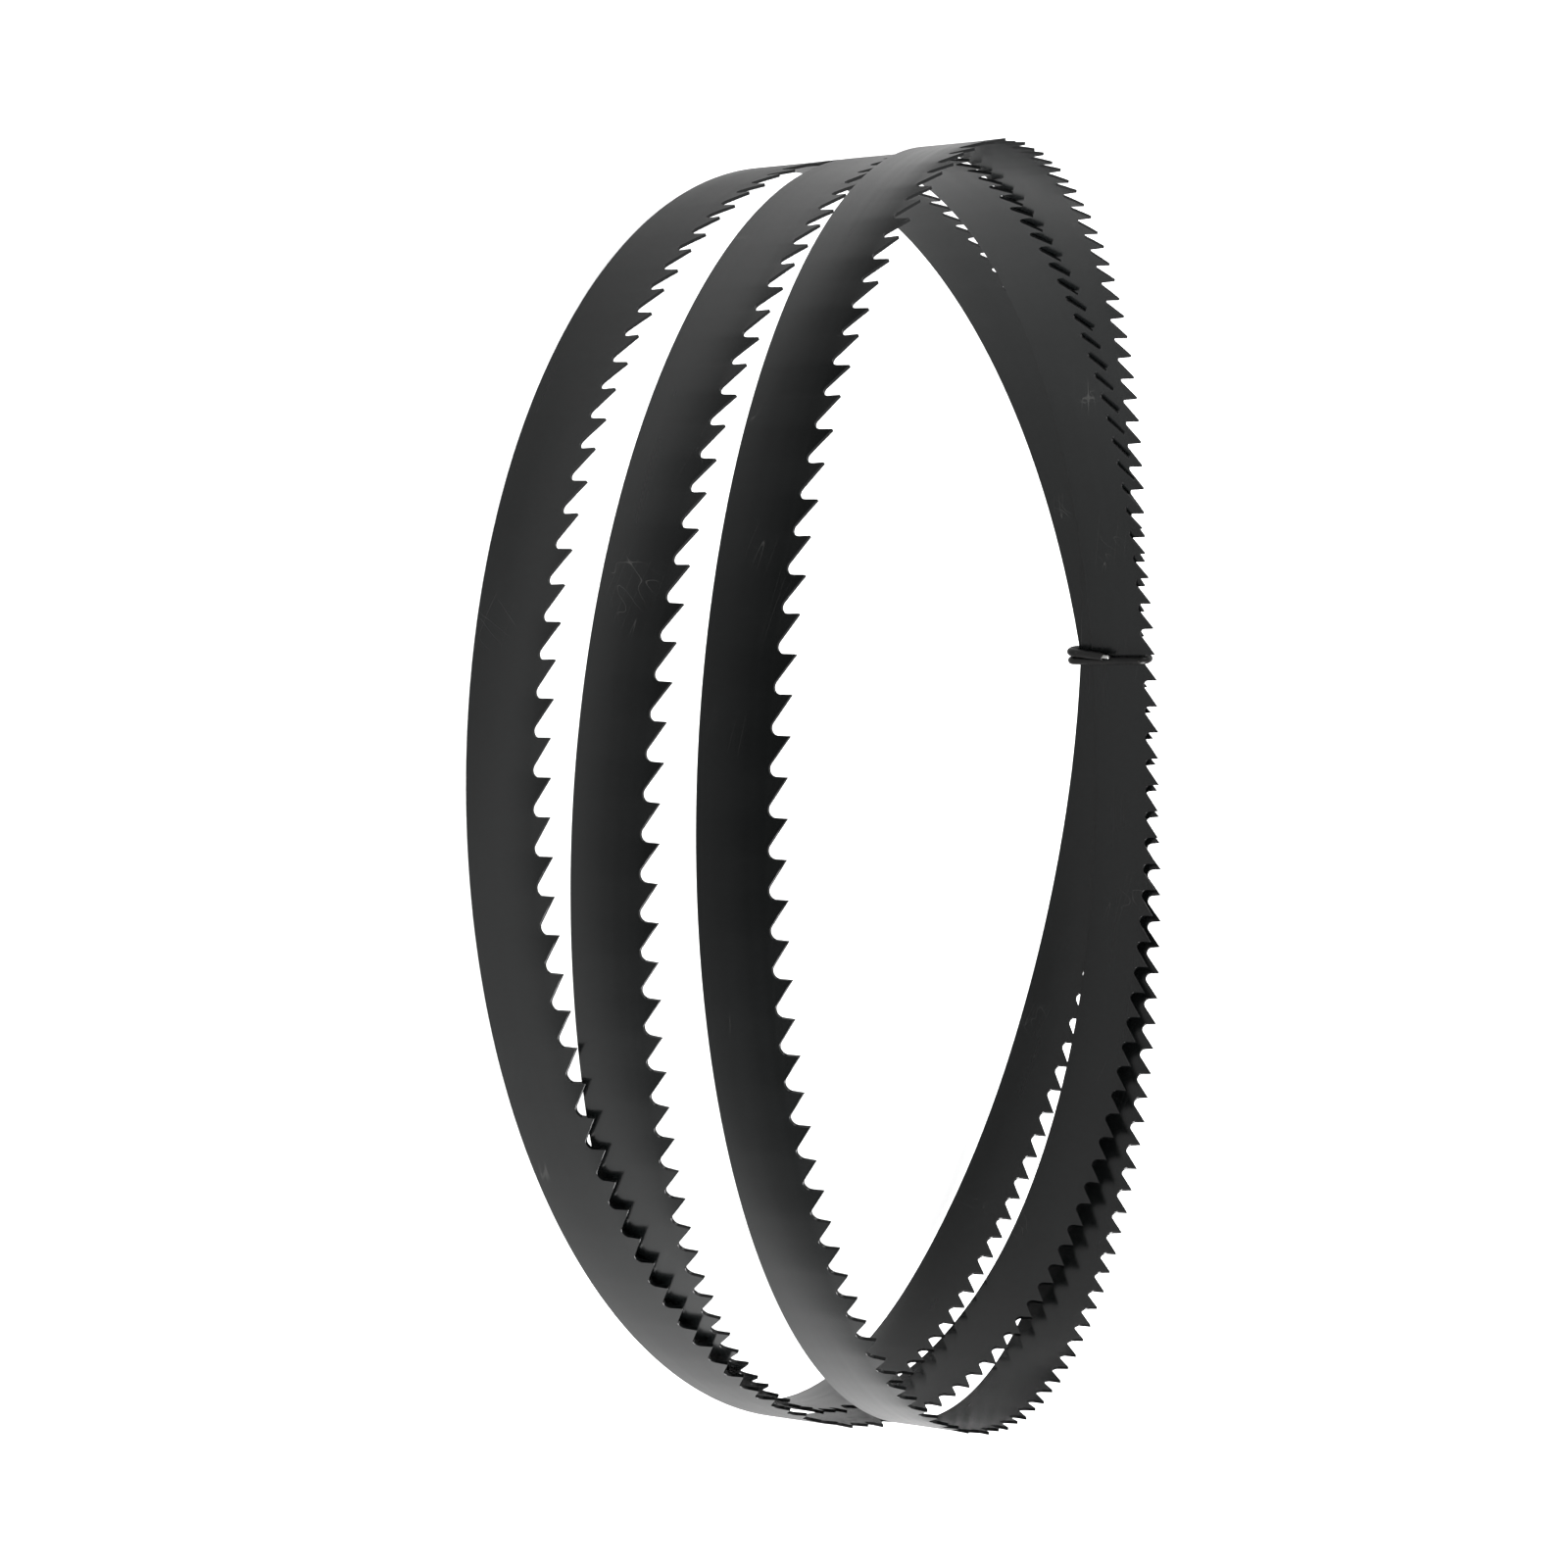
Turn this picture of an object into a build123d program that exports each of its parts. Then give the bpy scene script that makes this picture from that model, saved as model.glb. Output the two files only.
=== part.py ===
from build123d import *
from math import cos, pi, radians, sin, tan
import os

# Band saw blade in millimetres: one endless toothed steel band, coiled into three turns.
# The coil lies on a flat surface at Z = 0 with its teeth up and the origin under its middle.
# A wire tie on the +X side holds the turns together, and they fan apart on the -X side.

# The band
blade_length = 2375.0
blade_width = 15.9
blade_thickness = 0.6

# The teeth: a straight back, a round gullet and an upright face
tooth_pitch = 6.35
tooth_back_angle = 35.0
gullet_radius = 1.25
gullet_flats = 3
tip_land = 0.2

# The turns
turn_count = 3
turn_gap = 0.18
fan_gap = 1.2
crossing_gap = 1.3

# Clock angles in degrees, counted round the coil from the wire tie
tie_clock = 12.0
fan_start, fan_end = 108.0, 228.0
crossing_start, crossing_end = 286.0, 314.0

# Where each turn runs, at the tie and at each sixth of a turn round from it:
# the height of its back edge in blade widths, and how far it bulges from a circle in percent.
# The first turn's last height is missing, because there it crosses right over the second turn.
turn_heights = (
    (0.82, 0.22, 0.00, 0.29, 0.74),
    (1.04, 1.27, 1.58, 1.39, 0.44, 0.03),
    (0.82, 1.98, 2.69, 2.77, 2.36, 1.53),
)
turn_bulges = (
    (0.1, -3.1, -4.2, 2.5, 1.3, 1.4),
    (0.1, -3.1, -0.2, 4.0, 1.1, 1.5),
    (0.1, -3.3, -1.2, -0.9, -1.8, 3.3),
)
places_per_turn = 6

# The wire tie: coated wire, wound one and a half times round the three turns
wire_diameter = 1.8
wire_flats = 8
wire_bend = 1.25
bend_flats = 2
wire_gap = 0.3
wire_step = 2.3
inner_end_reach = 5.0
outer_end_reach = 11.0
outer_end_drift = 1.8

# Sizes that follow from the ones above
coil_radius = blade_length / turn_count / (2 * pi)
layer_pitch = blade_thickness + turn_gap
upright = Vector(0, 0, 1)


def eased(share):
    """Rises smoothly from 0 to 1 while the share does."""
    share = min(max(share, 0.0), 1.0)
    return share * share * (3 - 2 * share)


def layer_of(turn, clock):
    """The layer that a turn lies in, counted outwards from 0 at the inside of the coil."""
    fanned = eased((clock - fan_start) / (fan_end - fan_start))
    crossed = eased((clock - crossing_start) / (crossing_end - crossing_start))
    return (2 - fanned - crossed, crossed, 1 + fanned)[turn]


def between_places(values, turns):
    """A smooth closed curve through the values, read at so many turns from the tie."""
    place, x = divmod(turns * places_per_turn, 1)
    a, b, c, d = (values[(int(place) + shift) % len(values)] for shift in (-1, 0, 1, 2))
    return b + x * ((c - a) / 2 + x * ((2 * a - 5 * b + 4 * c - d) / 2 + x * (3 * b - 3 * c + d - a) / 2))


def level_direction(direction):
    return Vector(direction.X, direction.Y, 0).normalized()


# The band's back edge is one smooth closed curve. Each point of it lies out or in by the
# layer that its turn is in, so that the turns nest where they are pinched together.
over_second_turn = turn_heights[1][-1] + (blade_width + crossing_gap) / blade_width
heights = turn_heights[0] + (over_second_turn,) + turn_heights[1] + turn_heights[2]
bulges = turn_bulges[0] + turn_bulges[1] + turn_bulges[2]
steps_per_turn = 36
back_points = []
for step in range(steps_per_turn * turn_count):
    turns = step / steps_per_turn
    turn = step // steps_per_turn
    clock = 360 * (turns - turn)
    spread = layer_pitch + fan_gap * (1 - cos(radians(clock))) / 2
    radius = coil_radius * (1 + between_places(bulges, turns) / 100)
    radius += (layer_of(turn, clock) - 1) * spread
    angle = radians(tie_clock + clock)
    height = between_places(heights, turns) * blade_width
    back_points.append(Vector(radius * cos(angle), radius * sin(angle), height))

# The coil is set down on Z = 0, with the middle of its outline over the origin.
across = sorted(point.X for point in back_points)
along = sorted(point.Y for point in back_points)
lowest = min(point.Z for point in back_points)
middle = Vector((across[0] + across[-1]) / 2, (along[0] + along[-1]) / 2, lowest)
back_edge = Spline(*(point - middle for point in back_points), periodic=True)

# One station for each tooth, evenly spaced along the back edge. A station's plane faces
# along the band, with its X axis outwards and its Y axis up.
tooth_count = round(blade_length / tooth_pitch)
tooth_spacing = back_edge.length / tooth_count
stations = []
for tooth in range(tooth_count):
    share = tooth / tooth_count
    ahead = level_direction(back_edge.tangent_at(share))
    station = Plane(back_edge.position_at(share), x_dir=ahead.cross(upright), z_dir=-ahead)
    stations.append(station)


def tooth_plane(tooth):
    """A plane on a tooth's tip, with X to the next tip, Y inwards and Z away from the steel."""
    tip = stations[tooth].origin
    ahead = (stations[(tooth + 1) % tooth_count].origin - tip).normalized()
    inward = upright.cross(ahead).normalized()
    return Plane(tip + upright * blade_width, x_dir=ahead, z_dir=ahead.cross(inward))


# The gullet between two tips, as a block that is cut out of the band: down the straight back
# of one tooth, round the gullet in flats, and up the face of the next tooth. It reaches half
# of the gap past each side, so that it leaves the next turn whole.
gullet_end = tooth_spacing - tip_land / 2
gullet_depth = (
    (tooth_spacing - tip_land - gullet_radius) * tan(radians(tooth_back_angle))
    - gullet_radius / cos(radians(tooth_back_angle))
    + gullet_radius
)
gullet_centre = (gullet_end - gullet_radius, gullet_radius - gullet_depth)

with BuildPart() as gullet:
    with BuildSketch(Plane.XZ):
        with BuildLine():
            curve = CenterArc(
                gullet_centre,
                gullet_radius,
                270 - tooth_back_angle,
                90 + tooth_back_angle,
                mode=Mode.PRIVATE,
            )
            Polyline(
                (tip_land / 2, gullet_radius),
                (tip_land / 2, 0),
                *(curve @ (flat / gullet_flats) for flat in range(gullet_flats + 1)),
                (gullet_end, gullet_radius),
                close=True,
            )
        make_face()
    extrude(amount=layer_pitch / 2, both=True)

# The blade: a closed band with the same section all round, then one gullet for each tooth.
with BuildPart() as blade:
    sections = []
    for station in stations:
        with BuildSketch(station) as section:
            Rectangle(blade_thickness, blade_width, align=(Align.CENTER, Align.MIN))
        sections.append(section.sketch.face())
    loft(sections=[*sections, sections[0]], ruled=True)
    with Locations(*(tooth_plane(tooth).location for tooth in range(tooth_count))):
        add(gullet.part, mode=Mode.SUBTRACT)

# The wire runs round the bundle in the gullet of the second turn that is nearest to the
# tie's clock angle. Its frame has X outwards, Y along the band and Z up.
tied_tooth = tooth_count // turn_count
bundle_half = layer_pitch + blade_thickness / 2
wire_clear = wire_gap + wire_diameter / 2
backs_at_tie = [
    [stations[turn * tied_tooth + shift].origin.Z for shift in range(3)] for turn in range(turn_count)
]
lowest_back = min(min(backs) for backs in backs_at_tie)
inner_back = backs_at_tie[1][1]
outer_tips = max(backs_at_tie[0][0], backs_at_tie[2][1]) + blade_width

tied_station = tooth_plane(tied_tooth)
tie_ahead = level_direction(tied_station.x_dir)
tie_outward = tie_ahead.cross(upright)
tie_middle = (
    Vector(tied_station.origin.X, tied_station.origin.Y, 0)
    + tie_ahead * (gullet_end - gullet_radius)
    + tie_outward * layer_pitch
)
tie_frame = Plane(tie_middle, x_dir=tie_outward, z_dir=upright)

inner_side = -(bundle_half + wire_clear)
outer_side = bundle_half + wire_clear
under_backs = lowest_back - wire_clear
in_gullet = max(inner_back + blade_width - gullet_depth, outer_tips) + wire_clear

with BuildPart() as wire_tie:
    with BuildLine(tie_frame) as wire_line:
        bent = FilletPolyline(
            (inner_side, wire_step, inner_back + inner_end_reach),
            (inner_side, wire_step, under_backs),
            (outer_side, wire_step, under_backs),
            (outer_side, 0, in_gullet),
            (inner_side, 0, in_gullet),
            (inner_side, 0, under_backs),
            (outer_side, 0, under_backs),
            (outer_side, -outer_end_drift, lowest_back + outer_end_reach),
            radius=wire_bend,
            mode=Mode.PRIVATE,
        )
        corners = [bent @ 0]
        for run in bent.edges():
            if run.geom_type == GeomType.CIRCLE:
                corners += [run @ (flat / bend_flats) for flat in range(bend_flats + 1)]
        Polyline(*corners, bent @ 1)
    wire_start = Plane(wire_line.line @ 0, z_dir=wire_line.line % 0)
    with BuildSketch(wire_start):
        RegularPolygon(wire_diameter / 2, wire_flats)
    sweep(path=wire_line.line, transition=Transition.RIGHT)

blade.part.label = "blade"
wire_tie.part.label = "wire_tie"

os.makedirs("parts", exist_ok=True)
export_step(blade.part, "parts/blade.step")
export_step(wire_tie.part, "parts/wire_tie.step")
print("teeth", tooth_count, "back edge", round(back_edge.length, 1), "gullet depth", round(gullet_depth, 2))
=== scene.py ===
import math

import bpy
import numpy as np
from mathutils import Matrix, Vector


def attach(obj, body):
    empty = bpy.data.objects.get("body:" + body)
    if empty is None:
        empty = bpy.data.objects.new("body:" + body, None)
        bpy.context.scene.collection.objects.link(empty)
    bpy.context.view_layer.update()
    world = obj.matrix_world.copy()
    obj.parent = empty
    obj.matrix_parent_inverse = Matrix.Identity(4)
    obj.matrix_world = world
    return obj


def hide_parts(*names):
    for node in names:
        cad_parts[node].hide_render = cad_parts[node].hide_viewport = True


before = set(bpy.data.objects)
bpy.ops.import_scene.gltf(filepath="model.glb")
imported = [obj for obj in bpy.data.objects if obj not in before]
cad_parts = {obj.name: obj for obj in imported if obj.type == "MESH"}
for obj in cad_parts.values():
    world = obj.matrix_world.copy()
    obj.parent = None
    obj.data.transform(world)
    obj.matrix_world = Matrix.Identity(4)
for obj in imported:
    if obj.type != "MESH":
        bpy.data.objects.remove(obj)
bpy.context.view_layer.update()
print("frame loaded with nodes", sorted(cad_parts))

upright = np.array([0.0, 0.0, 1.0])


# The course of the band, in metres: the same places and layers as the solid's
bandCourse = {
    "loopLength": 2.375,
    "turnCount": 3,
    "width": 0.0159,
    "thickness": 0.0006,
    "turnGap": 0.00018,
    "fanGap": 0.0012,
    "crossingGap": 0.0013,
    "tieClock": 12.0,
    "fanClocks": (108.0, 228.0),
    "crossingClocks": (286.0, 314.0),
    "placesPerTurn": 6,
    "heights": (0.82, 0.22, 0.00, 0.29, 0.74, None, 1.04, 1.27, 1.58, 1.39, 0.44, 0.03,
                0.82, 1.98, 2.69, 2.77, 2.36, 1.53),  # back edge, in band widths
    "bulges": (0.1, -3.1, -4.2, 2.5, 1.3, 1.4, 0.1, -3.1, -0.2, 4.0, 1.1, 1.5,
               0.1, -3.3, -1.2, -0.9, -1.8, 3.3),  # percent of the radius
    "pointsPerTurn": 36,
    "fineSteps": 40000,
}


def eased(share):
    # 3x^2 - 2x^3 from 0 to 1, and flat on both sides
    share = np.clip(share, 0.0, 1.0)
    return share * share * (3 - 2 * share)


def betweenPlaces(values, turnsRound):
    # Catmull-Rom through the places, closed over all turns: b + x(slope + x(bow + x skew)) on each
    # stretch. The hair keeps a whole place from being rounded down
    hair = 1e-9
    values = np.asarray(values, float)
    place = turnsRound * bandCourse["placesPerTurn"]
    first = np.floor(place + hair).astype(int)
    x = place - first
    a, b, c, d = (values[(first + shift) % len(values)] for shift in (-1, 0, 1, 2))
    slope, bow, skew = (c - a) / 2, (2 * a - 5 * b + 4 * c - d) / 2, (3 * b - 3 * c + d - a) / 2
    return b + x * (slope + x * (bow + x * skew))


def backEdgePoints():
    # radius = coil radius (1 + bulge) + layer * spread, at clock angle tieClock + clock
    c = bandCourse
    steps = np.arange(c["turnCount"] * c["pointsPerTurn"])
    turn = steps // c["pointsPerTurn"]
    turnsRound = steps / c["pointsPerTurn"]
    clock = 360 * (turnsRound - turn)
    (fanStart, fanEnd), (crossStart, crossEnd) = c["fanClocks"], c["crossingClocks"]
    fanned = eased((clock - fanStart) / (fanEnd - fanStart))
    crossed = eased((clock - crossStart) / (crossEnd - crossStart))
    layer = np.choose(turn, [2 - fanned - crossed, crossed, 1 + fanned])
    heights = list(c["heights"])
    missing = heights.index(None)  # there the first turn crosses right over the second
    heights[missing] = heights[missing + c["placesPerTurn"]] + 1 + c["crossingGap"] / c["width"]
    coilRadius = c["loopLength"] / c["turnCount"] / (2 * math.pi)
    spread = c["thickness"] + c["turnGap"] + c["fanGap"] * (1 - np.cos(np.radians(clock))) / 2
    radius = coilRadius * (1 + betweenPlaces(c["bulges"], turnsRound) / 100) + (layer - 1) * spread
    angle = np.radians(c["tieClock"] + clock)
    height = betweenPlaces(heights, turnsRound) * c["width"]
    points = np.stack([radius * np.cos(angle), radius * np.sin(angle), height], axis=1)
    low, high = points.min(axis=0), points.max(axis=0)
    return points - np.array([(low[0] + high[0]) / 2, (low[1] + high[1]) / 2, low[2]])


def closedSpline(points):
    # Closed cubic through the points: h0 m0 + 2(h0+h1) m1 + h1 m2 = 6 (slope1 - slope0), knots by chord
    after = np.roll(points, -1, axis=0)
    chord = np.linalg.norm(after - points, axis=1)
    before = np.roll(chord, 1)
    count = len(points)
    row = np.arange(count)
    system = np.zeros((count, count))
    system[row, row] = 2 * (before + chord)
    system[row, (row - 1) % count] = before
    system[row, (row + 1) % count] = chord
    slope = (after - points) / chord[:, None]
    bend = np.linalg.solve(system, 6 * (slope - np.roll(slope, 1, axis=0)))
    knots = np.r_[0, np.cumsum(chord)]

    def at(t):
        t = np.mod(t, knots[-1])
        i = np.clip(np.searchsorted(knots, t, side="right") - 1, 0, count - 1)
        j = (i + 1) % count
        h = chord[i][:, None]
        x = (t - knots[i])[:, None]
        rest = h - x
        position = (bend[i] * rest**3 + bend[j] * x**3) / (6 * h)
        position += (points[i] / h - bend[i] * h / 6) * rest + (points[j] / h - bend[j] * h / 6) * x
        heading = (bend[j] * x**2 - bend[i] * rest**2) / (2 * h)
        heading += (points[j] - points[i]) / h - (bend[j] - bend[i]) * h / 6
        return position, heading / np.linalg.norm(heading, axis=1)[:, None]

    return at, knots[-1]


splineAt, splineEnd = closedSpline(backEdgePoints())
fineKnots = np.linspace(0, splineEnd, bandCourse["fineSteps"] + 1)
finePlaces = splineAt(np.r_[fineKnots[:-1], 0.0])[0]
fineLengths = np.r_[0, np.cumsum(np.linalg.norm(np.diff(finePlaces, axis=0), axis=1))]
loopLength = fineLengths[-1]


def alongBand(distance):
    # Back edge at a distance along it: position, heading, level outward direction, upward in the face
    knots = np.interp(np.mod(distance, loopLength), fineLengths, fineKnots)
    position, heading = splineAt(knots)
    outward = np.cross(heading, upright)
    outward /= np.linalg.norm(outward, axis=1)[:, None]
    inFace = np.cross(outward, heading)
    return position, heading, outward, inFace


def meshFrom(name, points, quads, uv, sharpDegrees, extraFaces=(), attributes=None):
    # Whole arrays into a mesh: points (n, 3), quads (m, 4), uv (4m, 2) in the order of the loops
    flatLoops = np.asarray(quads, np.int32).ravel()
    starts = np.arange(len(quads), dtype=np.int32) * 4
    for face in extraFaces:
        starts = np.append(starts, np.int32(len(flatLoops)))
        flatLoops = np.append(flatLoops, np.asarray(face, np.int32))
    mesh = bpy.data.meshes.new(name)
    mesh.vertices.add(len(points))
    mesh.vertices.foreach_set("co", np.asarray(points, np.float32).ravel())
    mesh.loops.add(len(flatLoops))
    mesh.loops.foreach_set("vertex_index", flatLoops)
    mesh.polygons.add(len(starts))
    mesh.polygons.foreach_set("loop_start", starts)
    mesh.update(calc_edges=True)
    mesh.validate()
    padded = np.zeros((len(flatLoops), 2), np.float32)
    padded[: len(uv)] = uv
    mesh.uv_layers.new(name="alongUv").data.foreach_set("uv", padded.ravel())
    for key, values in (attributes or {}).items():
        attribute = mesh.attributes.new(key, "FLOAT", "POINT")
        attribute.data.foreach_set("value", np.asarray(values, np.float32))
    mesh.shade_smooth()
    mesh.set_sharp_from_angle(angle=math.radians(sharpDegrees))
    piece = bpy.data.objects.new(name, mesh)
    bpy.context.scene.collection.objects.link(piece)
    return piece


def signedVolume(points, quads):
    # Sum of a . (b x c) / 6 over the two triangles of each quad
    a, b, c, d = (points[quads[:, k]] for k in range(4))
    first, second = (np.einsum("ij,ij->i", a, cross) for cross in (np.cross(b, c), np.cross(c, d)))
    return (first + second).sum() / 6


toothLook = {
    "pitch": 0.00635,
    "backAngle": 35.0,
    "gulletRadius": 0.00125,
    "tipLand": 0.00014,
    "solidTipLand": 0.0002,  # the solid's tips are wider, and the tie's place follows from them
    "faceLean": 0.00003,
    "setOut": 0.00017,  # every other tooth leans this far out at its tip, the rest as far in
    "setFrom": 0.01215,  # height above the back edge where the lean starts
    "setPower": 1.5,  # the lean grows with this power of the height above there
    "arcColumns": 9,
    "backBevel": 0.00014,
    "backCorner": (0, 30, 60, 90),  # degrees round each of the back's rounded corners
    "toothBevel": 0.00004,
    "sharpDegrees": 28.0,
}


def toothOutline():
    # One pitch: straight back at backAngle, arc from 270 - backAngle to 360 degrees, upright face
    t = toothLook
    count = round(bandCourse["loopLength"] / t["pitch"])
    spacing = loopLength / count
    angle = math.radians(t["backAngle"])
    r, halfLand = t["gulletRadius"], t["tipLand"] / 2
    faceAt = spacing - halfLand
    depth = (faceAt - halfLand - r) * math.tan(angle) - r / math.cos(angle) + r
    turnTo = np.linspace(math.radians(270) - angle, math.radians(360), t["arcColumns"])
    x = faceAt - r + r * np.cos(turnTo)
    below = depth - r - r * np.sin(turnTo)
    x = np.r_[halfLand, (halfLand + x[0]) / 2, x, faceAt + t["faceLean"]]
    below = np.r_[0.0, below[0] / 2, below, 0.0]
    arcMiddle = 2 + t["arcColumns"] // 2  # from there on the columns belong to the next tooth
    owner = (np.arange(len(x)) >= arcMiddle).astype(int)
    return count, spacing, x, below, owner


def bandSection():
    # Once round the section, up the outer face and down the inner one: how far across each row is,
    # its height where that is fixed, and its kind
    c, t = bandCourse, toothLook
    half, rounding, bevel = c["thickness"] / 2, t["backBevel"], t["toothBevel"]
    corner = np.radians(t["backCorner"])
    backX = half - rounding + rounding * np.cos(corner)
    backZ = rounding - rounding * np.sin(corner)
    section = [(across, height, "fixed") for across, height in zip(backX[::-1], backZ[::-1])]
    section += [(half, t["setFrom"], "fixed"), (half, None, "middle"), (half, None, "shoulder")]
    section += [(half - bevel, None, "top"), (bevel - half, None, "top")]
    section += [(-half, None, "shoulder"), (-half, None, "middle"), (-half, t["setFrom"], "fixed")]
    section += [(across, height, "fixed") for across, height in zip(-backX, backZ)]
    return section


def buildBlade():
    c, t = bandCourse, toothLook
    count, spacing, x, below, owner = toothOutline()
    teeth = np.repeat(np.arange(count), len(x))
    distance = teeth * spacing + np.tile(x, count)
    below = np.tile(below, count)
    owner = (teeth + np.tile(owner, count)) % count
    lean = np.where(owner % 2 == 0, 1.0, -1.0) * t["setOut"]
    position, heading, outward, inFace = alongBand(distance)

    setFrom, bevel = t["setFrom"], t["toothBevel"]
    section = bandSection()
    topHeight = c["width"] - below
    top = position + c["width"] * upright - below[:, None] * inFace
    rings, heights = [], []
    for across, height, kind in section:
        if kind == "fixed":
            up = np.full(len(distance), height)
            spot = position + up[:, None] * upright
        elif kind == "middle":
            up = (setFrom + topHeight) / 2
            spot = (position + setFrom * upright + top) / 2
        elif kind == "shoulder":
            up = topHeight - bevel
            spot = top - bevel * inFace
        else:
            up = topHeight
            spot = top
        share = np.clip((up - setFrom) / (c["width"] - setFrom), 0, 1) ** t["setPower"]
        rings.append(spot + outward * (across + lean * share)[:, None])
        heights.append(up)
    points = np.stack(rings, axis=1)
    heights = np.stack(heights, axis=1)
    columns, ring = points.shape[:2]

    # V is the distance round the section, with the tooth rows counted as if at the full width
    rowHeights = {"middle": (setFrom + c["width"]) / 2, "shoulder": c["width"], "top": c["width"]}
    across = np.array([row[0] for row in section])
    nominal = np.array([rowHeights.get(kind, height) for _, height, kind in section])
    legs = np.hypot(np.diff(np.r_[across, across[0]]), np.diff(np.r_[nominal, nominal[0]]))
    roundSection = np.r_[0, np.cumsum(legs)]

    i, j = np.meshgrid(np.arange(columns), np.arange(ring), indexing="ij")
    iNext, jNext = (i + 1) % columns, (j + 1) % ring
    quads = np.stack([i * ring + j, iNext * ring + j, iNext * ring + jNext, i * ring + jNext], axis=-1)
    along = np.r_[distance, loopLength + distance[0]]
    uv = np.stack([
        np.stack([along[i], along[i + 1], along[i + 1], along[i]], axis=-1),
        np.stack([roundSection[j], roundSection[j], roundSection[j + 1], roundSection[j + 1]], axis=-1),
    ], axis=-1).reshape(-1, 4, 2)
    quads = quads.reshape(-1, 4)
    flat = points.reshape(-1, 3)
    if signedVolume(flat, quads) < 0:
        quads, uv = quads[:, ::-1], uv[:, ::-1]
    toEdge = (topHeight[:, None] - heights).reshape(-1)
    piece = meshFrom(
        "bandWithTeeth", flat, quads, uv.reshape(-1, 2), t["sharpDegrees"],
        attributes={"belowTeeth": toEdge, "aboveBack": heights.reshape(-1)},
    )
    print("blade:", count, "teeth,", len(quads) * 2, "triangles, volume mm3",
          round(abs(signedVolume(flat, quads)) * 1e9))
    return piece, count, spacing


wireLook = {
    "diameter": 0.0019,
    "coreDiameter": 0.0009,
    "coreReach": (0.0016, 0.0008),
    "endRounding": 0.10,  # of the radius
    "sides": 20,
    "firstAcross": (0.31, 0.95, 0.11),  # any direction that the wire doesn't start along
    "gap": 0.00004,
    "step": 0.0022,
    "bend": 0.00110,
    "bendReach": 1.6,  # a corner's curve starts this many bends away from it
    "longestReach": 0.49,  # and at most this share of a run away
    "placesPerBend": 9,
    "placesPerMetre": 1400,
    "innerEndReach": 0.0036,
    "innerEndDrift": 0.0009,  # the inner end slants over towards the other run of wire
    "innerEndLift": 0.0014,  # and rests on it
    "cornerLift": 0.25,  # share of that lift at the corner before the end
    "outerEndReach": 0.0105,
    "outerEndDrift": 0.0018,
    "sharpDegrees": 40.0,
}


def roundedPath(corners):
    # Straight runs, with each corner swapped for a quadratic curve that is tangent to both of its runs
    w = wireLook
    path = [corners[0]]
    for before, here, after in zip(corners[:-2], corners[1:-1], corners[2:]):
        inLength, outLength = np.linalg.norm(before - here), np.linalg.norm(after - here)
        reach = min(w["bend"] * w["bendReach"], min(inLength, outLength) * w["longestReach"])
        start = here + (before - here) / inLength * reach
        end = here + (after - here) / outLength * reach
        u = np.linspace(0, 1, w["placesPerBend"])[:, None]
        curve = start * (1 - u) ** 2 + here * 2 * u * (1 - u) + end * u**2
        pieces = max(2, int(np.linalg.norm(start - path[-1]) * w["placesPerMetre"]))
        lead = np.linspace(0, 1, pieces + 1)[1:-1, None]
        path.extend(path[-1] + (start - path[-1]) * lead)
        path.extend(curve)
    path.append(corners[-1])
    return np.array(path)


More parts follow.
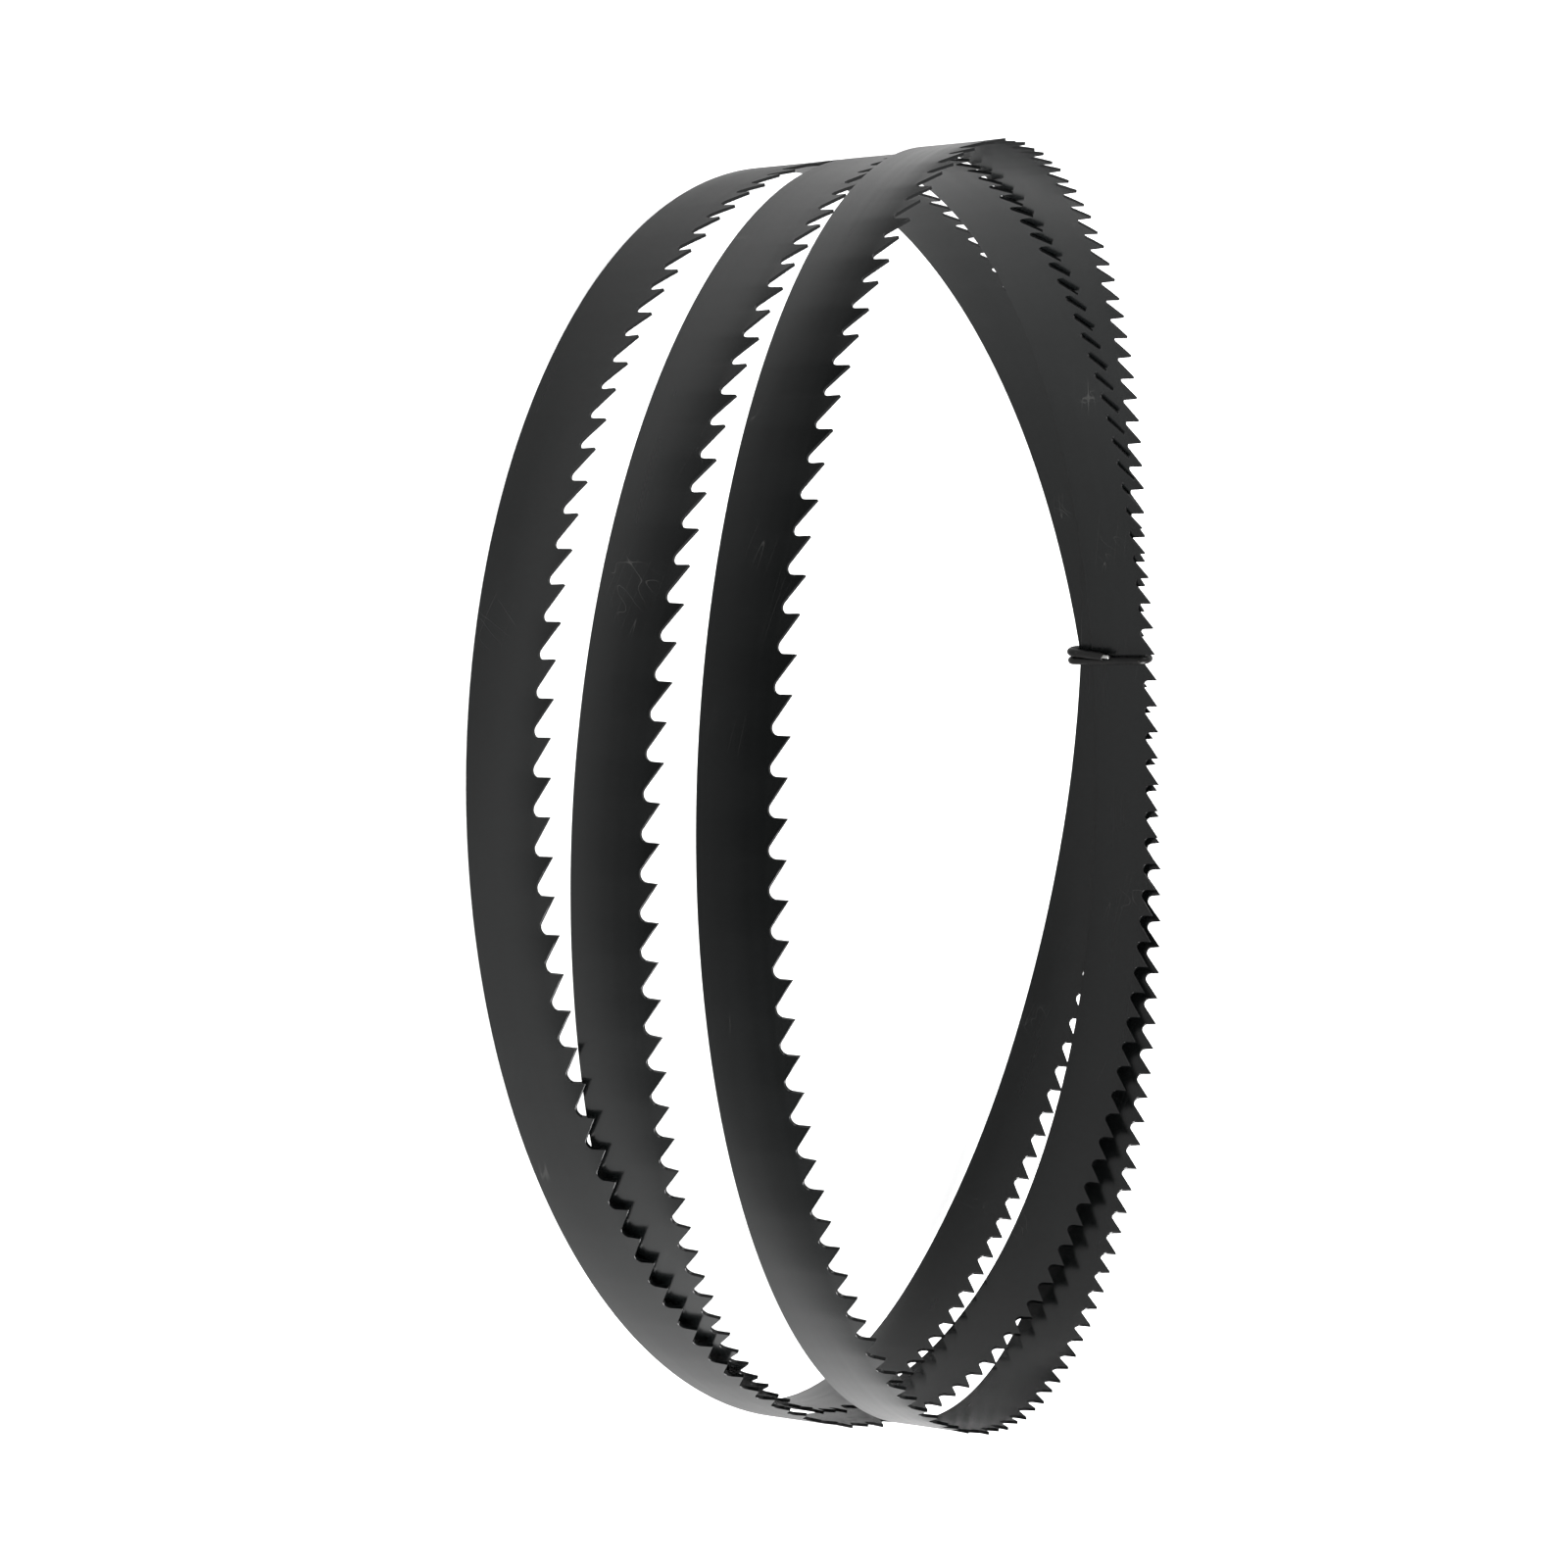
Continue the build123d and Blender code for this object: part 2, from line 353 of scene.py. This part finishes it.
def wireAlong(name, path):
    # Circle carried along the path by parallel transport; at each end the coating stops square
    # and the thinner bare core goes on by its reach
    w = wireLook
    radius, coreRadius, sides = w["diameter"] / 2, w["coreDiameter"] / 2, w["sides"]
    step = np.gradient(path, axis=0)
    heading = step / np.linalg.norm(step, axis=1)[:, None]
    side = np.zeros_like(path)
    side[0] = np.cross(heading[0], w["firstAcross"])
    side[0] /= np.linalg.norm(side[0])
    for k in range(1, len(path)):
        carried = side[k - 1] - heading[k] * (side[k - 1] @ heading[k])
        side[k] = carried / np.linalg.norm(carried)
    other = np.cross(heading, side)
    angle = np.linspace(0, 2 * math.pi, sides, endpoint=False)[None, :, None]
    circle = np.cos(angle) * side[:, None, :] + np.sin(angle) * other[:, None, :]
    body = path[:, None, :] + radius * circle
    edge = radius * w["endRounding"]
    ends = []
    for end, way, reach in zip((0, -1), (-1, 1), w["coreReach"]):
        out = way * heading[end]
        body[end] = path[end] - out * edge + radius * circle[end]
        face = path[end] + (radius - edge) * circle[end]
        root = path[end] + coreRadius * circle[end]
        lip = path[end] + out * (reach - edge) + coreRadius * circle[end]
        tip = path[end] + out * reach + (coreRadius - edge) * circle[end]
        ends.append(np.array([face, root, lip, tip]))
    rows = np.concatenate([ends[0][::-1], body, ends[1]])
    lengths = np.r_[0, np.cumsum(np.linalg.norm(np.diff(path, axis=0), axis=1))]
    endSteps = np.arange(1, len(ends[0]) + 1) * edge
    along = np.r_[-endSteps[::-1], lengths, lengths[-1] + endSteps]
    count = len(rows)
    i, j = np.meshgrid(np.arange(count - 1), np.arange(sides), indexing="ij")
    near, far, jNext = i * sides, (i + 1) * sides, (j + 1) % sides
    quads = np.stack([near + j, near + jNext, far + jNext, far + j], axis=-1)
    turn = np.arange(sides + 1) / sides * 2 * math.pi * radius
    uv = np.stack([
        np.stack([along[i], along[i], along[i + 1], along[i + 1]], axis=-1),
        np.stack([turn[j], turn[j + 1], turn[j + 1], turn[j]], axis=-1),
    ], axis=-1).reshape(-1, 4, 2)
    quads = quads.reshape(-1, 4)
    flat = rows.reshape(-1, 3)
    startCap, endCap = np.arange(sides)[::-1], (count - 1) * sides + np.arange(sides)
    if signedVolume(flat, quads) < 0:
        quads, uv = quads[:, ::-1], uv[:, ::-1]
        startCap, endCap = startCap[::-1], endCap[::-1]
    bareBands = 2  # from the core's root to its lip and from there to its tip, then the cap
    bare = np.r_[((i < bareBands) | (i >= count - 1 - bareBands)).ravel(), True, True]
    piece = meshFrom(name, flat, quads, uv.reshape(-1, 2), w["sharpDegrees"],
                     extraFaces=(startCap, endCap))
    piece.data.polygons.foreach_set("material_index", bare.astype(np.int32))
    return piece


def buildTie(count, spacing):
    # The wire runs round the bundle in the gullet of the second turn at the tie, one and a half times
    w, t, c = wireLook, toothLook, bandCourse
    tied = count // c["turnCount"]
    perTurn = 3  # the first tips of each turn, which are the ones at the tie
    tips = tied * np.arange(c["turnCount"])[:, None] + np.arange(perTurn)
    position, heading, outward, _ = alongBand(tips.ravel() * spacing)
    backs = position[:, 2].reshape(tips.shape)
    lowestBack, innerBack = backs.min(), backs[1, 1]
    outerTips = max(backs[0, 0], backs[2, 1]) + c["width"]
    r, angle, land = t["gulletRadius"], math.radians(t["backAngle"]), t["solidTipLand"]
    depth = (spacing - land - r) * math.tan(angle) - r / math.cos(angle) + r
    layer = c["thickness"] + c["turnGap"]
    clear = w["gap"] + w["diameter"] / 2
    level, second = np.array([1, 1, 0]), perTurn  # second is the second turn's first tip
    ahead, out = heading[second] * level, outward[second]
    ahead = ahead / np.linalg.norm(ahead)
    middle = position[second] * level + ahead * (spacing - land / 2 - r) + out * layer
    innerSide = -(layer + c["thickness"] / 2 + clear)
    outerSide = -innerSide
    under = lowestBack - clear
    inGullet = max(innerBack + c["width"] - depth, outerTips) + clear
    corners = [
        (innerSide - w["innerEndLift"], w["step"] - w["innerEndDrift"], innerBack + w["innerEndReach"]),
        (innerSide - w["innerEndLift"] * w["cornerLift"], w["step"], under),
        (outerSide, w["step"], under),
        (outerSide, 0, inGullet),
        (innerSide, 0, inGullet),
        (innerSide, 0, under),
        (outerSide, 0, under),
        (outerSide, -w["outerEndDrift"], lowestBack + w["outerEndReach"]),
    ]
    path = roundedPath(np.array([middle + out * a + ahead * b + upright * h for a, b, h in corners]))
    piece = wireAlong("tieWire", path)
    print("tie wire:", len(path), "places along it, length mm",
          round(np.linalg.norm(np.diff(path, axis=0), axis=1).sum() * 1000, 1))
    return piece


blade, toothCount, toothSpacing = buildBlade()
tie = buildTie(toothCount, toothSpacing)


# Shader groups that both finishes use
def newGroup(name, inputs, outputs):
    group = bpy.data.node_groups.new(name, "ShaderNodeTree")
    group.interface.new_socket(name="Vector", in_out="INPUT", socket_type="NodeSocketVector")
    for label in inputs:
        group.interface.new_socket(name=label, in_out="INPUT", socket_type="NodeSocketFloat")
    for label in outputs:
        group.interface.new_socket(name=label, in_out="OUTPUT", socket_type="NodeSocketFloat")
    return group, group.nodes.new("NodeGroupInput"), group.nodes.new("NodeGroupOutput")


def mathNode(tree, operation, first, second=None, third=None, clamp=False):
    node = tree.nodes.new("ShaderNodeMath")
    node.operation = operation
    node.use_clamp = clamp
    for socket, value in zip(node.inputs, (first, second, third)):
        if isinstance(value, (int, float)):
            socket.default_value = value
        elif value is not None:
            tree.links.new(value, socket)
    return node.outputs[0]


def rangeNode(tree, value, fromMin, fromMax, toMin, toMax):
    node = tree.nodes.new("ShaderNodeMapRange")
    node.interpolation_type = "SMOOTHSTEP"
    tree.links.new(value, node.inputs["Value"])
    limits = {"From Min": fromMin, "From Max": fromMax, "To Min": toMin, "To Max": toMax}
    for label, number in limits.items():
        if isinstance(number, (int, float)):
            node.inputs[label].default_value = number
        else:
            tree.links.new(number, node.inputs[label])
    return node.outputs["Result"]


def noiseNode(tree, vector, scale, detail, roughness=0.5):
    node = tree.nodes.new("ShaderNodeTexNoise")
    node.inputs["Scale"].default_value = scale
    node.inputs["Detail"].default_value = detail
    node.inputs["Roughness"].default_value = roughness
    tree.links.new(vector, node.inputs["Vector"])
    return node.outputs["Fac"]


def flatVector(tree, x, y):
    node = tree.nodes.new("ShaderNodeCombineXYZ")
    tree.links.new(x, node.inputs["X"])
    tree.links.new(y, node.inputs["Y"])
    return node.outputs[0]


def drawnGrain():
    # Noise on (along * Along, across * Across): lines that run with the metal, and slow streaks
    group, source, sink = newGroup("drawnGrain", ("Along", "Across"), ("Lines", "Streaks"))
    split = group.nodes.new("ShaderNodeSeparateXYZ")
    group.links.new(source.outputs["Vector"], split.inputs[0])
    along = mathNode(group, "MULTIPLY", split.outputs["X"], source.outputs["Along"])
    across = mathNode(group, "MULTIPLY", split.outputs["Y"], source.outputs["Across"])
    streakScale = 0.14  # of the lines' scale
    for label, scale, detail in (("Lines", 1.0, 3.0), ("Streaks", streakScale, 2.0)):
        vector = flatVector(group, mathNode(group, "MULTIPLY", along, scale),
                            mathNode(group, "MULTIPLY", across, scale))
        noise = noiseNode(group, vector, scale=1.0, detail=detail, roughness=0.6)
        group.links.new(noise, sink.inputs[label])
    return group


def looseSpecks():
    # Cells of a Voronoi pattern, with a speck at the middle of each cell whose own number is under Share
    group, source, sink = newGroup("looseSpecks", ("Scale", "Size", "Share"), ("Mask",))
    cells = group.nodes.new("ShaderNodeTexVoronoi")
    group.links.new(source.outputs["Vector"], cells.inputs["Vector"])
    group.links.new(source.outputs["Scale"], cells.inputs["Scale"])
    number = group.nodes.new("ShaderNodeSeparateColor")
    group.links.new(cells.outputs["Color"], number.inputs[0])
    chosen = mathNode(group, "LESS_THAN", number.outputs[0], source.outputs["Share"])
    solidShare = 0.6  # of a speck's size, and it fades out from there
    solidSize = mathNode(group, "MULTIPLY", source.outputs["Size"], solidShare)
    near = rangeNode(group, cells.outputs["Distance"], solidSize, source.outputs["Size"], 1.0, 0.0)
    group.links.new(mathNode(group, "MULTIPLY", chosen, near), sink.inputs["Mask"])
    return group


def fineScratches():
    # Thin lines where a stretched noise passes through its middle value, kept only where a mask is high
    lineHalf, patchScale, patchFade = 0.006, 55.0, 0.08
    group, source, sink = newGroup("fineScratches", ("Along", "Across", "Slant", "Share"), ("Mask",))
    split = group.nodes.new("ShaderNodeSeparateXYZ")
    group.links.new(source.outputs["Vector"], split.inputs[0])
    x, y = split.outputs["X"], split.outputs["Y"]
    slanted = mathNode(group, "MULTIPLY_ADD", x, source.outputs["Slant"], y)
    vector = flatVector(group, mathNode(group, "MULTIPLY", x, source.outputs["Along"]),
                        mathNode(group, "MULTIPLY", slanted, source.outputs["Across"]))
    fromMiddle = mathNode(group, "SUBTRACT", noiseNode(group, vector, scale=1.0, detail=0.0), 0.5)
    thin = rangeNode(group, mathNode(group, "ABSOLUTE", fromMiddle), 0.0, lineHalf, 1.0, 0.0)
    patches = noiseNode(group, source.outputs["Vector"], patchScale, detail=1.0)
    full = mathNode(group, "ADD", source.outputs["Share"], patchFade)
    shown = rangeNode(group, patches, source.outputs["Share"], full, 0.0, 1.0)
    group.links.new(mathNode(group, "MULTIPLY", thin, shown), sink.inputs["Mask"])
    return group


grainGroup, speckGroup, scratchGroup = drawnGrain(), looseSpecks(), fineScratches()
print("shader groups made")


def useGroup(tree, group, vector, settings):
    node = tree.nodes.new("ShaderNodeGroup")
    node.node_tree = group
    tree.links.new(vector, node.inputs["Vector"])
    for label, value in settings.items():
        node.inputs[label].default_value = value
    return node


def mixColour(tree, share, first, second):
    # A Mix node has sockets for each data type: for colours they are inputs 0, 6 and 7 and output 2
    node = tree.nodes.new("ShaderNodeMix")
    node.data_type = "RGBA"
    for socket, value in ((node.inputs[0], share), (node.inputs[6], first), (node.inputs[7], second)):
        if isinstance(value, (int, float)):
            socket.default_value = value
        elif isinstance(value, tuple):
            socket.default_value = (*value, 1.0)
        else:
            tree.links.new(value, socket)
    return node.outputs[2]


def newMaterial(name):
    # A material with its tree, its shader and the object's own coordinates
    material = bpy.data.materials.new(name)
    material.use_nodes = True
    tree = material.node_tree
    coords = tree.nodes.new("ShaderNodeTexCoord")
    return material, tree, tree.nodes["Principled BSDF"], coords.outputs["Object"]


def alongMetal(tree):
    # U along the band or wire and V round its section, in metres
    node = tree.nodes.new("ShaderNodeUVMap")
    node.uv_map = "alongUv"
    return node.outputs["UV"]


def attributeNode(tree, name):
    node = tree.nodes.new("ShaderNodeAttribute")
    node.attribute_name = name
    return node.outputs["Fac"]


def addBump(tree, shader, height, settings):
    bump = tree.nodes.new("ShaderNodeBump")
    bump.inputs["Strength"].default_value = settings["bumpStrength"]
    bump.inputs["Distance"].default_value = settings["grainDepth"]
    tree.links.new(height, bump.inputs["Height"])
    tree.links.new(bump.outputs["Normal"], shader.inputs["Normal"])


bluedSteel = {
    "dark": (0.0014, 0.0018, 0.0018),
    "light": (0.0030, 0.0036, 0.0037),
    "worn": (0.010, 0.010, 0.010),
    "scratch": (0.045, 0.045, 0.043),
    "dust": (0.16, 0.145, 0.125),
    "specular": 0.42,
    "grain": {"Along": 55.0, "Across": 5200.0},
    "grainDepth": 0.0000016,
    "bumpStrength": 0.6,
    "markDepth": 0.8,  # of the grain's depth
    "longScratches": {"Along": 22.0, "Across": 430.0, "Slant": 0.22, "Share": 0.585},
    "crossScratches": {"Along": 160.0, "Across": 260.0, "Slant": -0.9, "Share": 0.64},
    "longStrength": 0.35,
    "crossStrength": 0.5,
    "specks": {"Scale": 95.0, "Size": 0.035, "Share": 0.030},
    "cloudScale": 26.0,  # the oxide is a little uneven from place to place
    "cloudDetail": 4.0,
    "cloudRange": (0.32, 0.68),
    "cloudTone": 0.45,
    "streakTone": 0.7,
    "toneFrom": 0.15,
    "edgeWear": 0.00012,
    "wearRange": (0.42, 0.62),  # streaks between which the edges go from dark to worn
    "wearMost": 0.8,
    "roughness": 0.21,
    "streakRoughness": 0.10,
    "cloudRoughness": 0.05,
    "dustRoughness": 0.4,
}


def makeBluedSteel():
    s = bluedSteel
    material, tree, shader, inObject = newMaterial("bluedSteel")
    uv = alongMetal(tree)
    grain = useGroup(tree, grainGroup, uv, s["grain"])
    streaks = grain.outputs["Streaks"]
    longMask = useGroup(tree, scratchGroup, uv, s["longScratches"]).outputs["Mask"]
    crossMask = useGroup(tree, scratchGroup, uv, s["crossScratches"]).outputs["Mask"]
    specks = useGroup(tree, speckGroup, inObject, s["specks"]).outputs["Mask"]

    cloud = noiseNode(tree, inObject, s["cloudScale"], s["cloudDetail"])
    cloud = rangeNode(tree, cloud, *s["cloudRange"], 0.0, 1.0)
    tone = mathNode(tree, "MULTIPLY_ADD", streaks, s["streakTone"],
                    mathNode(tree, "MULTIPLY", cloud, s["cloudTone"]))
    tone = mathNode(tree, "SUBTRACT", tone, s["toneFrom"], clamp=True)
    colour = mixColour(tree, tone, s["dark"], s["light"])

    nearTeeth = rangeNode(tree, attributeNode(tree, "belowTeeth"), 0.0, s["edgeWear"], 1.0, 0.0)
    nearBack = rangeNode(tree, attributeNode(tree, "aboveBack"), 0.0, s["edgeWear"], 1.0, 0.0)
    patchy = rangeNode(tree, streaks, *s["wearRange"], 0.0, s["wearMost"])
    wear = mathNode(tree, "MULTIPLY", mathNode(tree, "MAXIMUM", nearTeeth, nearBack), patchy)
    colour = mixColour(tree, wear, colour, s["worn"])
    marks = mathNode(tree, "MAXIMUM", mathNode(tree, "MULTIPLY", longMask, s["longStrength"]),
                     mathNode(tree, "MULTIPLY", crossMask, s["crossStrength"]))
    colour = mixColour(tree, marks, colour, s["scratch"])
    colour = mixColour(tree, specks, colour, s["dust"])
    tree.links.new(colour, shader.inputs["Base Color"])

    smoothest = s["roughness"] - s["streakRoughness"] / 2
    rough = mathNode(tree, "MULTIPLY_ADD", streaks, s["streakRoughness"], smoothest)
    rough = mathNode(tree, "MULTIPLY_ADD", cloud, s["cloudRoughness"], rough)
    rough = mathNode(tree, "MULTIPLY_ADD", specks, s["dustRoughness"], rough, clamp=True)
    tree.links.new(rough, shader.inputs["Roughness"])
    shader.inputs["Specular IOR Level"].default_value = s["specular"]

    markDepth = mathNode(tree, "MULTIPLY", marks, s["markDepth"])
    addBump(tree, shader, mathNode(tree, "SUBTRACT", grain.outputs["Lines"], markDepth), s)
    return material


coatedWire = {
    "dark": (0.0016, 0.0016, 0.0016),
    "light": (0.0042, 0.0039, 0.0036),
    "toneRange": (0.35, 0.65),
    "dust": (0.09, 0.085, 0.08),
    "dustStrength": 0.3,
    "specks": {"Scale": 900.0, "Size": 0.16, "Share": 0.05},
    "roughness": 0.36,
    "lineRoughness": 0.18,
    "specular": 0.36,
    "grain": {"Along": 420.0, "Across": 1600.0},
    "grainDepth": 0.000012,
    "bumpStrength": 0.5,
}


def makeCoatedWire():
    s = coatedWire
    material, tree, shader, inObject = newMaterial("coatedWire")
    grain = useGroup(tree, grainGroup, alongMetal(tree), s["grain"])
    lines = grain.outputs["Lines"]
    specks = useGroup(tree, speckGroup, inObject, s["specks"]).outputs["Mask"]
    tone = rangeNode(tree, grain.outputs["Streaks"], *s["toneRange"], 0.0, 1.0)
    colour = mixColour(tree, tone, s["dark"], s["light"])
    colour = mixColour(tree, mathNode(tree, "MULTIPLY", specks, s["dustStrength"]), colour, s["dust"])
    tree.links.new(colour, shader.inputs["Base Color"])
    smoothest = s["roughness"] - s["lineRoughness"] / 2
    rough = mathNode(tree, "MULTIPLY_ADD", lines, s["lineRoughness"], smoothest, clamp=True)
    tree.links.new(rough, shader.inputs["Roughness"])
    shader.inputs["Specular IOR Level"].default_value = s["specular"]
    addBump(tree, shader, lines, s)
    return material


wireCore = {
    "dull": (0.42, 0.42, 0.41),
    "bright": (0.92, 0.92, 0.90),
    "noiseScale": 3000.0,
    "noiseDetail": 2.0,
    "noiseRange": (0.3, 0.7),
    "roughness": (0.28, 0.45),
}


def makeWireCore():
    s = wireCore
    material, tree, shader, inObject = newMaterial("wireCore")
    noise = noiseNode(tree, inObject, s["noiseScale"], s["noiseDetail"])
    tree.links.new(mixColour(tree, noise, s["bright"], s["dull"]), shader.inputs["Base Color"])
    shader.inputs["Metallic"].default_value = 1.0
    rough = rangeNode(tree, noise, *s["noiseRange"], *s["roughness"])
    tree.links.new(rough, shader.inputs["Roughness"])
    return material


blade.data.materials.append(makeBluedSteel())
tie.data.materials.append(makeCoatedWire())
tie.data.materials.append(makeWireCore())
print("finishes made")

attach(blade, "root")
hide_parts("blade")
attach(tie, "root")
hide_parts("wire_tie")


# Pale floor, soft light all round and the photograph's camera
studio = {
    "floorHalf": 6.0,
    "floorBelow": 0.0001,  # the coil's lowest point
    "floorColour": (0.93, 0.93, 0.93),
    "floorRoughness": 0.9,
    "floorSpecular": 0.1,
    # The paper and the sky are lit brighter than the steel shows them. Painted shade: for glossy rays
    # the paper's colour is these tones at distances from the coil's middle, dark further out
    "paintedFloorShadeInSteel": ((0.0, 0.285), (0.11, 0.285), (0.143, 0.412), (0.166, 0.15), (0.220, 0.027)),
    "sideShare": 0.79,  # distances to the side count for this much
    "worldStrength": 1.95,
    "worldInSteel": 0.6,
    "lampSize": 0.9,
    "lamps": {"sideLow": ((-0.02, -1.15, 0.45), 36.0), "sideHigh": ((0.1, 1.2, 0.8), 5.0)},
}


def makeFloorPaper():
    # Plain paper, but for glossy rays a painted shade: a ramp over sqrt(X^2 + (sideShare Y)^2)
    s = studio
    material, tree, shader, inObject = newMaterial("floorPaper")
    split = tree.nodes.new("ShaderNodeSeparateXYZ")
    tree.links.new(inObject, split.inputs[0])
    side = mathNode(tree, "MULTIPLY", split.outputs["Y"], s["sideShare"])
    squares = mathNode(tree, "MULTIPLY_ADD", split.outputs["X"], split.outputs["X"],
                       mathNode(tree, "MULTIPLY", side, side))
    furthest = s["paintedFloorShadeInSteel"][-1][0]
    ramp = tree.nodes.new("ShaderNodeValToRGB")
    fromMiddle = mathNode(tree, "DIVIDE", mathNode(tree, "SQRT", squares), furthest)
    tree.links.new(fromMiddle, ramp.inputs["Fac"])
    stops = ramp.color_ramp.elements
    for distance, tone in s["paintedFloorShadeInSteel"][1:-1]:
        stops.new(distance / furthest)
    for stop, (distance, tone) in zip(stops, s["paintedFloorShadeInSteel"]):
        stop.color = (tone, tone, tone, 1.0)
    rays = tree.nodes.new("ShaderNodeLightPath")
    # Glossy rays see the ramp's painted shade in place of the plain paper colour
    colour = mixColour(tree, rays.outputs["Is Glossy Ray"], s["floorColour"], ramp.outputs["Color"])
    tree.links.new(colour, shader.inputs["Base Color"])
    shader.inputs["Roughness"].default_value = s["floorRoughness"]
    shader.inputs["Specular IOR Level"].default_value = s["floorSpecular"]
    return material


def buildStudio():
    s = studio
    half, level = s["floorHalf"], -s["floorBelow"]
    mesh = bpy.data.meshes.new("floor")
    corners = [(x, y, level) for x, y in ((-half, -half), (half, -half), (half, half), (-half, half))]
    mesh.from_pydata(corners, [], [(0, 1, 2, 3)])
    mesh.materials.append(makeFloorPaper())
    floor = bpy.data.objects.new("floor", mesh)
    bpy.context.scene.collection.objects.link(floor)

    world = bpy.data.worlds.new("softWhite")
    world.use_nodes = True
    tree = world.node_tree
    background = tree.nodes["Background"]
    background.inputs["Color"].default_value = (1.0, 1.0, 1.0, 1.0)
    rays = tree.nodes.new("ShaderNodeLightPath")
    strength = mathNode(tree, "MULTIPLY_ADD", rays.outputs["Is Glossy Ray"],
                        s["worldInSteel"] - s["worldStrength"], s["worldStrength"])
    tree.links.new(strength, background.inputs["Strength"])
    bpy.context.scene.world = world

    for name, (spot, power) in s["lamps"].items():
        light = bpy.data.lights.new(name, "AREA")
        light.shape = "DISK"
        light.size = s["lampSize"]
        light.energy = power
        lamp = bpy.data.objects.new(name, light)
        lamp.location = spot
        lamp.rotation_mode = "QUATERNION"
        lamp.rotation_quaternion = (-Vector(spot)).to_track_quat("-Z", "Y")
        bpy.context.scene.collection.objects.link(lamp)
    bpy.context.scene.view_settings.view_transform = "Standard"


cameraLook = {
    "tilt": 27.14,
    "away": 0.5510,
    "shiftRight": 0.00428,
    "shiftUp": 0.00167,
    "pitch": 1.47,
    "roll": -0.57,
    "focalPixels": 2733.0,
    "imagePixels": 1600,
    "sensorWidth": 36.0,
    "clip": (0.01, 50.0),
    "coilMiddle": (0.000716, 0.002636, 0.0),
}


def buildCamera():
    # Looks along +X and down by tilt, with +Y up in the picture, then turned by pitch and roll
    c = cameraLook
    tilt, pitch, roll = (math.radians(c[key]) for key in ("tilt", "pitch", "roll"))
    right = Vector((math.sin(tilt), 0, math.cos(tilt)))
    ahead = Vector((math.cos(tilt), 0, -math.sin(tilt)))
    up = Vector((0, 1, 0))
    forward = math.cos(pitch) * ahead - math.sin(pitch) * up
    up = math.sin(pitch) * ahead + math.cos(pitch) * up
    right, up = (math.cos(roll) * right - math.sin(roll) * up,
                 math.sin(roll) * right + math.cos(roll) * up)
    data = bpy.data.cameras.new("photoCamera")
    data.sensor_width = c["sensorWidth"]
    data.lens = c["focalPixels"] / c["imagePixels"] * c["sensorWidth"]
    data.clip_start, data.clip_end = c["clip"]
    camera = bpy.data.objects.new("photoCamera", data)
    turned = Matrix((right, up, -forward)).transposed().to_4x4()
    turned.translation = (Vector(c["coilMiddle"]) - c["away"] * forward - c["shiftRight"] * right
                          - c["shiftUp"] * up)
    camera.matrix_world = turned
    bpy.context.scene.collection.objects.link(camera)
    bpy.context.scene.camera = camera


buildStudio()
buildCamera()
print("studio and camera set")

bpy.context.view_layer.update()
